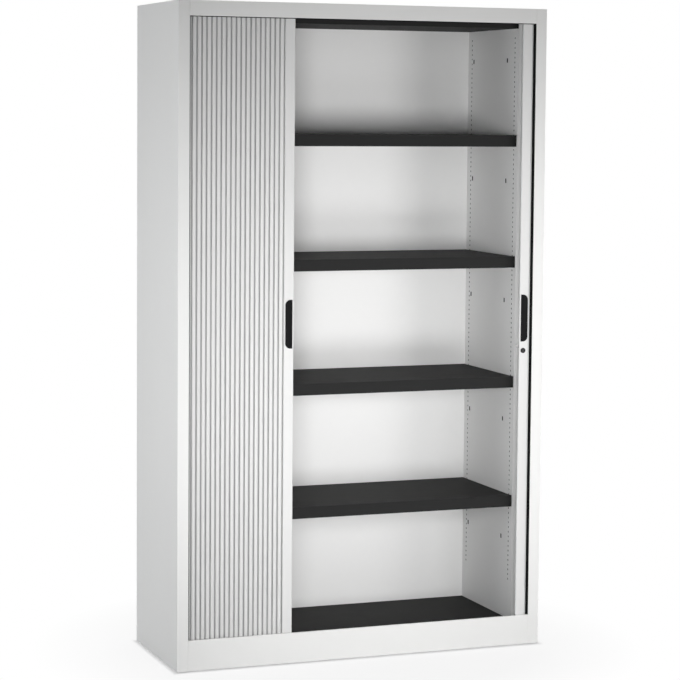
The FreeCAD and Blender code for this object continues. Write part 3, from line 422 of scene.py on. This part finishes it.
# Base and head frames
# The steel boxes along both sides, the channels at front and head and the carriers under the top, all in
# the same white coat. They are spot welded to the case and carry the track.
dress(["front_base_channel", "left_base_box", "right_base_box", "header_channel",
       "left_upper_carrier", "right_upper_carrier"], white_coat)


# Liner of the compartment
# Two inner sides of pale coated sheet, punched in two columns with small holes every 15 mm and with slots for
# hooks, and a plain inner back. Each side is folded outwards at its front and back edges. A dark strip behind
# each column stands for the unlit hollow side.
liner_coat = finish_material(
    "pale_liner_coat",
    {"dark": (0.82, 0.82, 0.815), "light": (0.87, 0.87, 0.865), "rubbed": (0.70, 0.70, 0.69),
     "dust": (0.68, 0.675, 0.66)},
    (0.42, 0.55), {"Patch_Scale": 2.2, "Mottle_Scale": 50.0, "Mottle_Share": 0.3},
    {"Width": 0.001, "Breakup_Scale": 40.0, "Amount": 0.3}, {"Drift_Scale": 12.0, "Amount": 0.3},
    {"Grain_Scale": 1300.0, "Wave_Scale": 260.0, "Wave_Share": 0.5, "Stretch_Up": 1.0}, (0.10, 0.00025))
dress(["inner_back_panel"], liner_coat)

hollow_shade = finish_material(
    "hollow_shade",
    {"dark": (0.02, 0.02, 0.02), "light": (0.035, 0.035, 0.035), "rubbed": (0.05, 0.05, 0.05),
     "dust": (0.05, 0.05, 0.05)},
    (0.80, 0.90), {"Patch_Scale": 5.0, "Mottle_Scale": 80.0, "Mottle_Share": 0.4},
    {"Width": 0.0005, "Breakup_Scale": 60.0, "Amount": 0.2}, {"Drift_Scale": 20.0, "Amount": 0.2},
    {"Grain_Scale": 1500.0, "Wave_Scale": 400.0, "Wave_Share": 0.4, "Stretch_Up": 1.0}, (0.2, 0.0002),
    specular=0.0)
liner_sheet = 1.0
shade_gap, shade_margin = 0.6, 2.0
liner_face = 516.0
liner_front, liner_back = -176.0, 203.0
liner_low, liner_high = 3.0, 1948.0
liner_flange = 15.0
hole_radius = 3.4
hole_sides = 16
first_row, row_pitch, row_count = 197.0, 15.0, 114
hole_columns = (-149.0, 175.0)
first_lug, lug_pitch, lug_count = 324.5, 375.0, 5
lug_columns = (-94.0, 161.0)
lug_half_wide, lug_half_tall, lug_corner = 5.0, 7.0, 1.2


def rounded_box(low_a, high_a, low_b, high_b, radius, steps=3):
    """The corners of a rectangle with rounded corners, anticlockwise."""
    spots = []
    for centre_a, centre_b, turn in ((high_a - radius, high_b - radius, 0), (low_a + radius, high_b - radius, 90),
                                     (low_a + radius, low_b + radius, 180), (high_a - radius, low_b + radius, 270)):
        for step in range(steps + 1):
            angle = math.radians(turn + 90 * step / steps)
            spots.append((centre_a + radius * math.cos(angle), centre_b + radius * math.sin(angle)))
    return spots


def punched_plate(outlines, thickness):
    """A flat plate in its own X and Y, of the first outline with the others punched out of it."""
    curve = bpy.data.curves.new("punched_plate", "CURVE")
    curve.dimensions = "2D"
    curve.fill_mode = "BOTH"
    curve.extrude = thickness / 2 * MM
    for outline in outlines:
        spline = curve.splines.new("POLY")
        spline.points.add(len(outline) - 1)
        for point, (a, b) in zip(spline.points, outline):
            point.co = (a * MM, b * MM, 0, 1)
        spline.use_cyclic_u = True
    holder = bpy.data.objects.new("punched_plate", curve)
    mesh = bpy.data.meshes.new_from_object(holder)
    bpy.data.objects.remove(holder)
    bpy.data.curves.remove(curve)
    return mesh


def swept(outline, low, high, place):
    """A bmesh prism: an outline in two directions between two heights, each corner put in space by place."""
    made = bmesh.new()
    ends = [[made.verts.new(place(a, b, height)) for a, b in outline] for height in (low, high)]
    count = len(outline)
    for k in range(count):
        made.faces.new((ends[0][k], ends[0][(k + 1) % count], ends[1][(k + 1) % count], ends[1][k]))
    made.faces.new(ends[0])
    made.faces.new(ends[1])
    bmesh.ops.recalc_face_normals(made, faces=made.faces)
    return made


def piece_from(name, made, material, smooth_angle=None):
    """An object of the scene from a bmesh or a mesh, with its finish."""
    if isinstance(made, bmesh.types.BMesh):
        mesh = bpy.data.meshes.new(name)
        made.to_mesh(mesh)
        made.free()
    else:
        mesh = made
        mesh.name = name
    mesh.materials.clear()
    mesh.materials.append(material)
    piece = bpy.data.objects.new(name, mesh)
    bpy.context.scene.collection.objects.link(piece)
    if smooth_angle is not None:
        mesh.polygons.foreach_set("use_smooth", [True] * len(mesh.polygons))
        sharp = [False] * len(mesh.edges)
        probe = bmesh.new()
        probe.from_mesh(mesh)
        for edge in probe.edges:
            sharp[edge.index] = (not edge.is_manifold) or edge.calc_face_angle() > math.radians(smooth_angle)
        probe.free()
        flags = mesh.attributes.get("sharp_edge") or mesh.attributes.new("sharp_edge", "BOOLEAN", "EDGE")
        flags.data.foreach_set("value", sharp)
    return piece


def circle(centre_a, centre_b, radius, sides):
    """The corners of a round outline."""
    turns = [2 * math.pi * k / sides for k in range(sides)]
    return [(centre_a + radius * math.cos(turn), centre_b + radius * math.sin(turn)) for turn in turns]


plate_outlines = [[(liner_front, liner_low), (liner_back, liner_low),
                   (liner_back, liner_high), (liner_front, liner_high)]]
for column in hole_columns:
    for row in range(row_count):
        plate_outlines.append(circle(column, first_row + row * row_pitch, hole_radius, hole_sides))
for column in lug_columns:
    for storey in range(lug_count):
        middle = first_lug + storey * lug_pitch
        plate_outlines.append(rounded_box(column - lug_half_wide, column + lug_half_wide,
                                          middle - lug_half_tall, middle + lug_half_tall, lug_corner))
for word, side in (("left", -1), ("right", 1)):
    plate = punched_plate(plate_outlines, liner_sheet)
    # The plate's own X and Y become the cabinet's Y and Z.
    plate.transform(Matrix(((0, 0, 1, side * (liner_face + liner_sheet / 2) * MM),
                            (1, 0, 0, 0), (0, 1, 0, 0), (0, 0, 0, 1))))
    whole = bmesh.new()
    whole.from_mesh(plate)
    bpy.data.meshes.remove(plate)
    inner = liner_face + liner_sheet
    outer = liner_face + liner_flange
    for flange_front in (liner_front, liner_back - liner_sheet):
        flange_back = flange_front + liner_sheet
        flange = swept([(inner, flange_front), (outer, flange_front), (outer, flange_back), (inner, flange_back)],
                       liner_low, liner_high, lambda a, b, height: Vector((side * a, b, height)) * MM)
        strip = bpy.data.meshes.new("flange")
        flange.to_mesh(strip)
        flange.free()
        whole.from_mesh(strip)
        bpy.data.meshes.remove(strip)
    sheet_faces = len(whole.faces)
    far = side * (inner + shade_gap)
    for columns, opening in ((hole_columns, hole_radius), (lug_columns, lug_half_wide)):
        half = opening + shade_margin
        for column in columns:
            spots = ((column - half, liner_low), (column + half, liner_low),
                     (column + half, liner_high), (column - half, liner_high))
            whole.faces.new([whole.verts.new(Vector((far, along, height)) * MM) for along, height in spots])
    liner = piece_from(f"{word}_punched_liner", whole, liner_coat)
    liner.data.materials.append(hollow_shade)
    for face in liner.data.polygons:
        face.material_index = int(face.index >= sheet_faces)
    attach(liner, "case")
    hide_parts(f"{word}_inner_panel")


# Floor and ceiling of the compartment
# Folded trays of the same sheet in a dark powder coat, let in between the liner sides. One is the lowest
# shelf of the compartment, and the other hides the frame at its head.
dark_coat = finish_material(
    "charcoal_coat",
    {"dark": (0.014, 0.014, 0.014), "light": (0.022, 0.022, 0.022), "rubbed": (0.06, 0.06, 0.06),
     "dust": (0.06, 0.058, 0.055)},
    (0.55, 0.68), {"Patch_Scale": 2.5, "Mottle_Scale": 60.0, "Mottle_Share": 0.35},
    {"Width": 0.001, "Breakup_Scale": 50.0, "Amount": 0.6}, {"Drift_Scale": 14.0, "Amount": 0.25},
    {"Grain_Scale": 1200.0, "Wave_Scale": 300.0, "Wave_Share": 0.4, "Stretch_Up": 1.0}, (0.18, 0.0003),
    specular=0.08)
dress(["floor_pan", "ceiling_pan"], dark_coat)


# Shelves and clips
# Four trays with a deep front lip that is returned inwards, in the dark coat. Each hangs on four clips of
# bright zinc plated steel that hook into the punched holes.
dress(["shelf_1", "shelf_2", "shelf_3", "shelf_4"], dark_coat)
zinc_plate = finish_material(
    "zinc_plate",
    {"dark": (0.50, 0.51, 0.53), "light": (0.66, 0.67, 0.69), "rubbed": (0.74, 0.74, 0.75),
     "dust": (0.45, 0.44, 0.42)},
    (0.28, 0.45), {"Patch_Scale": 30.0, "Mottle_Scale": 220.0, "Mottle_Share": 0.5},
    {"Width": 0.0006, "Breakup_Scale": 150.0, "Amount": 0.5}, {"Drift_Scale": 40.0, "Amount": 0.2},
    {"Grain_Scale": 2200.0, "Wave_Scale": 500.0, "Wave_Share": 0.3, "Stretch_Up": 0.3}, (0.15, 0.0001), metal=1.0)
dress(["shelf_clips"], zinc_plate, 0.2)


# Tracks and end stops
# White extruded plastic tracks that guide both ends of every slat: straight across the opening, round each
# front corner and back along the sides. A moulded stop closes each groove.
track_plastic = finish_material(
    "track_plastic",
    {"dark": (0.60, 0.60, 0.59), "light": (0.67, 0.67, 0.66), "rubbed": (0.52, 0.52, 0.51),
     "dust": (0.50, 0.49, 0.47)},
    (0.36, 0.50), {"Patch_Scale": 6.0, "Mottle_Scale": 90.0, "Mottle_Share": 0.4},
    {"Width": 0.0006, "Breakup_Scale": 80.0, "Amount": 0.4}, {"Drift_Scale": 20.0, "Amount": 0.5},
    {"Grain_Scale": 1500.0, "Wave_Scale": 300.0, "Wave_Share": 0.3, "Stretch_Up": 1.0}, (0.08, 0.0002))
dress(["lower_front_track", "upper_front_track", "lower_left_track", "lower_right_track",
       "upper_left_track", "upper_right_track"], track_plastic, 0.2)
milky_nylon = finish_material(
    "milky_nylon",
    {"dark": (0.70, 0.69, 0.65), "light": (0.78, 0.77, 0.74), "rubbed": (0.62, 0.61, 0.58),
     "dust": (0.55, 0.54, 0.51)},
    (0.35, 0.48), {"Patch_Scale": 25.0, "Mottle_Scale": 150.0, "Mottle_Share": 0.4},
    {"Width": 0.0006, "Breakup_Scale": 120.0, "Amount": 0.4}, {"Drift_Scale": 30.0, "Amount": 0.4},
    {"Grain_Scale": 1800.0, "Wave_Scale": 400.0, "Wave_Share": 0.3, "Stretch_Up": 1.0}, (0.08, 0.0002))
dress(["track_end_stops", "left_rail_shoes", "right_rail_shoes"], milky_nylon, 0.2)


# Slats of the shutters
# Extruded white plastic strips 15 mm wide, as tall as the opening. Each hooks behind the lip of the next and
# turns on it, so the curtain runs round the corner and into the hollow side. The joint faces are a darker grey,
# for dust and as painted shade in the recess.
slat_plastic = finish_material(
    "slat_plastic",
    {"dark": (0.68, 0.68, 0.675), "light": (0.74, 0.74, 0.735), "rubbed": (0.62, 0.62, 0.61),
     "dust": (0.60, 0.59, 0.57)},
    (0.30, 0.42), {"Patch_Scale": 2.0, "Mottle_Scale": 55.0, "Mottle_Share": 0.3},
    {"Width": 0.0007, "Breakup_Scale": 30.0, "Amount": 0.35}, {"Drift_Scale": 15.0, "Amount": 0.4},
    {"Grain_Scale": 900.0, "Wave_Scale": 200.0, "Wave_Share": 0.3, "Stretch_Up": 0.02}, (0.10, 0.00025),
    specular=0.3)
dress(["left_curtain_side", "right_curtain_corner", "right_curtain_side",
       "right_curtain_bend", "right_curtain_return"], slat_plastic, 0.25)

# Joint faces of each slat: a darker grey that paints dust and the shade in the recess between slats.
joint_dust_and_shade = finish_material(
    "joint_dust_and_shade",
    {"dark": (0.33, 0.33, 0.33), "light": (0.41, 0.41, 0.41), "rubbed": (0.45, 0.45, 0.45),
     "dust": (0.22, 0.21, 0.20)},
    (0.55, 0.70), {"Patch_Scale": 3.0, "Mottle_Scale": 60.0, "Mottle_Share": 0.4},
    {"Width": 0.0005, "Breakup_Scale": 30.0, "Amount": 0.3}, {"Drift_Scale": 15.0, "Amount": 0.4},
    {"Grain_Scale": 900.0, "Wave_Scale": 200.0, "Wave_Share": 0.3, "Stretch_Up": 0.02}, (0.10, 0.0002))

slat_pitch = 15.0
slat_low, slat_high = 80.4, 1945.6
curtain_line = -209.0
slat_outline = [(-2.5, 0.7), (-2.2, 1.3), (-1.6, 1.6), (0.5, 1.7), (1.0, 2.2), (1.3, 2.9), (1.8, 3.4),
                (2.8, 3.75), (5.8, 3.95), (8.8, 3.75), (9.8, 3.4), (10.3, 2.9), (10.6, 2.2), (11.0, 1.7),
                (11.7, 1.5), (11.9, 1.1), (11.9, -1.9), (14.4, -1.9), (14.4, -0.2), (14.7, 0.2), (15.5, 0.2),
                (15.8, -0.2), (15.8, -2.9), (15.5, -3.2), (3.4, -3.2), (2.6, -2.2), (1.9, 0.7), (-1.1, 0.7),
                (-1.1, -1.4), (-2.5, -1.4)]
slat_smooth_angle = 35
# Faces of the outline that lie below this height belong to the joint.
joint_level = 2.0
first_pivot = 262.6
corner_start = 536.6
left_front_slats = 18
right_start = 547.6
corner_radius = 45.0
# Each next slat lies a hair further back, and a spare one is a tuck smaller, so that no two faces coincide.
hair = 0.02
tuck = 0.3


def front_pivots(start):
    """The two pivots of a slat in the straight front run, from its distance from the middle."""
    return (start, curtain_line), (start + slat_pitch, curtain_line)


def slat_piece(name, side, pivots, shrink=0.0, back=0.0):
    """One slat between two pivots."""
    start = Vector(pivots[0])
    run = (Vector(pivots[1]) - start).normalized()
    out = Vector((run.y, -run.x))
    middle = slat_pitch / 2
    scale = 1 - 2 * shrink / slat_pitch

    def place(a, b, height):
        spot = start + run * (middle + (a - middle) * scale) + out * (b * scale - back)
        return Vector((side * spot.x, spot.y, height)) * MM

    piece = piece_from(name, swept(slat_outline, slat_low + shrink, slat_high - shrink, place), slat_plastic,
                       slat_smooth_angle)
    piece.data.materials.append(joint_dust_and_shade)
    for k, face in enumerate(piece.data.polygons[:len(slat_outline)]):
        highest = max(slat_outline[k][1], slat_outline[(k + 1) % len(slat_outline)][1])
        face.material_index = int(highest < joint_level)
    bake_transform(piece)
    return piece


# The front slats spread as the left shutter closes. Spare ones behind them fill the gaps that open then.
for k in range(left_front_slats):
    start = first_pivot + k * slat_pitch
    shown = slat_piece(f"left_slat_{k + 1:02d}", -1, front_pivots(start), back=k * hair)
    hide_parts("left_curtain_front")
    slat_piece(f"left_spare_slat_{k + 1:02d}", -1, front_pivots(start),
               tuck, k * hair)
slat_piece("left_spare_slat_00", -1, front_pivots(first_pivot + (left_front_slats - 1) * slat_pitch),
           tuck, left_front_slats * hair)


def corner_spot(angle):
    """A pivot's place on the bend, or on the run before it for an angle below 0."""
    if angle < 0:
        return corner_start + corner_radius * angle, curtain_line
    return corner_start + corner_radius * math.sin(angle), curtain_line + corner_radius * (1 - math.cos(angle))


# The slats in the left bend, each set one pitch further round the arc.
corner_yields = (15.0, 8.0, 2.0, 0.0, 0.0)
halvings = 30
turn = (first_pivot + left_front_slats * slat_pitch - corner_start) / corner_radius
for k, room in enumerate(corner_yields):
    pivot = corner_spot(turn)
    low, high = turn, turn + 2 * slat_pitch / corner_radius
    for _ in range(halvings):
        turn = (low + high) / 2
        if (Vector(corner_spot(turn)) - Vector(pivot)).length < slat_pitch:
            low = turn
        else:
            high = turn
    bent = slat_piece(f"left_corner_slat_{k + 1}", -1, (pivot, corner_spot(turn)),
                      back=left_front_slats * hair)
    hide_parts("left_curtain_corner")

# The right slats lie in one place behind the stile at rest, and spread over the opening as the shutter closes.
right_slats = 35
for k in range(right_slats):
    slat_piece(f"right_slat_{k + 1:02d}", 1, front_pivots(right_start),
               tuck if k else 0.0, k * hair)


# Leading rails
# A hollow plastic extrusion ends each shutter and carries its grip. A nylon shoe slides in the track at
# both ends.
dress(["left_rail", "right_rail"], slat_plastic, 0.3)


# Shade strips
# Black strips behind the inner edge of each stile and under the top rail, shaped like a pile seal: painted shade
# for the dark slit towards the slats. They are bonded to the back of the sheet.
shade_strip_black = finish_material(
    "shade_strip_black",
    {"dark": (0.006, 0.006, 0.006), "light": (0.012, 0.012, 0.012), "rubbed": (0.02, 0.02, 0.02),
     "dust": (0.03, 0.03, 0.03)},
    (0.85, 0.95), {"Patch_Scale": 15.0, "Mottle_Scale": 300.0, "Mottle_Share": 0.5},
    {"Width": 0.0005, "Breakup_Scale": 90.0, "Amount": 0.2}, {"Drift_Scale": 30.0, "Amount": 0.2},
    {"Grain_Scale": 2500.0, "Wave_Scale": 900.0, "Wave_Share": 0.4, "Stretch_Up": 0.15}, (0.6, 0.0005),
    specular=0.0)
stile_edge = 555.0
strip_front, strip_back = -218.9, -213.1
strip_low, strip_high = 96.0, 1934.0
strip_foot, strip_root, strip_taper = 3.0, 1.0, 1.2
# The right strip reaches further out from its stile, painting a wider band of shade beside the shutter's rail.
for word, side, strip_reach in (("left", -1, 2.2), ("right", 1, 7.0)):
    strip_tip = stile_edge - strip_reach
    strip_outline = [(strip_tip, strip_front + strip_taper), (stile_edge - strip_root, strip_front),
                    (stile_edge + strip_foot, strip_front), (stile_edge + strip_foot, strip_back),
                    (strip_tip, strip_back)]
    strip_mesh = swept(strip_outline, strip_low, strip_high, lambda a, b, height: Vector((side * a, b, height)) * MM)
    strip_piece = piece_from(f"{word}_shade_strip", strip_mesh, shade_strip_black)
    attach(strip_piece, "case")
# The strip under the top rail paints the shadow line over the tops of the slats.
head_edge, head_reach = 1935.0, 2.2
head_outline = [(strip_front, head_edge + strip_foot), (strip_front, head_edge - head_reach),
                (strip_back, head_edge - head_reach), (strip_back, head_edge + strip_foot)]
head_strip_mesh = swept(head_outline, -stile_edge, stile_edge, lambda a, b, along: Vector((along, a, b)) * MM)
head_strip_piece = piece_from("head_shade_strip", head_strip_mesh, shade_strip_black)
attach(head_strip_piece, "case")


# Grips
# Black moulded plastic, screwed on from inside: straight along the leading side with a hollow ramp for the
# fingers, and rounded off towards the slats.
grip_black = finish_material(
    "grip_black",
    {"dark": (0.007, 0.007, 0.0075), "light": (0.012, 0.012, 0.0125), "rubbed": (0.04, 0.04, 0.04),
     "dust": (0.05, 0.05, 0.05)},
    (0.45, 0.60), {"Patch_Scale": 12.0, "Mottle_Scale": 140.0, "Mottle_Share": 0.4},
    {"Width": 0.0012, "Breakup_Scale": 90.0, "Amount": 0.5}, {"Drift_Scale": 30.0, "Amount": 0.2},
    {"Grain_Scale": 1600.0, "Wave_Scale": 500.0, "Wave_Share": 0.3, "Stretch_Up": 1.0}, (0.25, 0.0002),
    specular=0.04)
dress(["left_grip", "right_grip"], grip_black, 0.5)


# Lock
# A cylinder lock in a black moulded rim on the right rail. Its hook swings out of the rail and behind the
# keeper plate in the left one.
dress(["lock_housing"], grip_black, 0.3)
dark_nickel = finish_material(
    "dark_nickel",
    {"dark": (0.02, 0.02, 0.02), "light": (0.05, 0.05, 0.05), "rubbed": (0.20, 0.20, 0.20),
     "dust": (0.10, 0.10, 0.10)},
    (0.38, 0.52), {"Patch_Scale": 60.0, "Mottle_Scale": 400.0, "Mottle_Share": 0.5},
    {"Width": 0.0005, "Breakup_Scale": 200.0, "Amount": 0.5}, {"Drift_Scale": 60.0, "Amount": 0.2},
    {"Grain_Scale": 3000.0, "Wave_Scale": 700.0, "Wave_Share": 0.3, "Stretch_Up": 1.0}, (0.15, 0.0001), metal=1.0)
dull_zinc = finish_material(
    "dull_zinc",
    {"dark": (0.26, 0.26, 0.26), "light": (0.36, 0.36, 0.36), "rubbed": (0.50, 0.50, 0.50),
     "dust": (0.25, 0.25, 0.24)},
    (0.40, 0.55), {"Patch_Scale": 60.0, "Mottle_Scale": 400.0, "Mottle_Share": 0.5},
    {"Width": 0.0005, "Breakup_Scale": 200.0, "Amount": 0.5}, {"Drift_Scale": 60.0, "Amount": 0.2},
    {"Grain_Scale": 3000.0, "Wave_Scale": 700.0, "Wave_Share": 0.3, "Stretch_Up": 1.0}, (0.15, 0.0001), metal=1.0)
dress(["lock_barrel"], dark_nickel, 0.15)
dress(["lock_hook"], dull_zinc, 0.15)
dress(["lock_keeper"], zinc_plate, 0.15)


# Levelling feet
# Black plastic pads on zinc plated studs, in brackets that are welded in the corners of the base. They turn
# from inside to level the cabinet.
foot_plastic = finish_material(
    "foot_plastic",
    {"dark": (0.03, 0.03, 0.03), "light": (0.05, 0.05, 0.05), "rubbed": (0.10, 0.10, 0.10),
     "dust": (0.16, 0.155, 0.15)},
    (0.45, 0.60), {"Patch_Scale": 20.0, "Mottle_Scale": 120.0, "Mottle_Share": 0.4},
    {"Width": 0.001, "Breakup_Scale": 70.0, "Amount": 0.5}, {"Drift_Scale": 25.0, "Amount": 0.5},
    {"Grain_Scale": 1400.0, "Wave_Scale": 400.0, "Wave_Share": 0.3, "Stretch_Up": 1.0}, (0.2, 0.0002))
corners = [f"{end}_{side}" for end in ("front", "rear") for side in ("left", "right")]
dress([f"{corner}_foot" for corner in corners], foot_plastic, 0.3)
dress([f"{corner}_foot_bracket" for corner in corners], zinc_plate, 0.2)
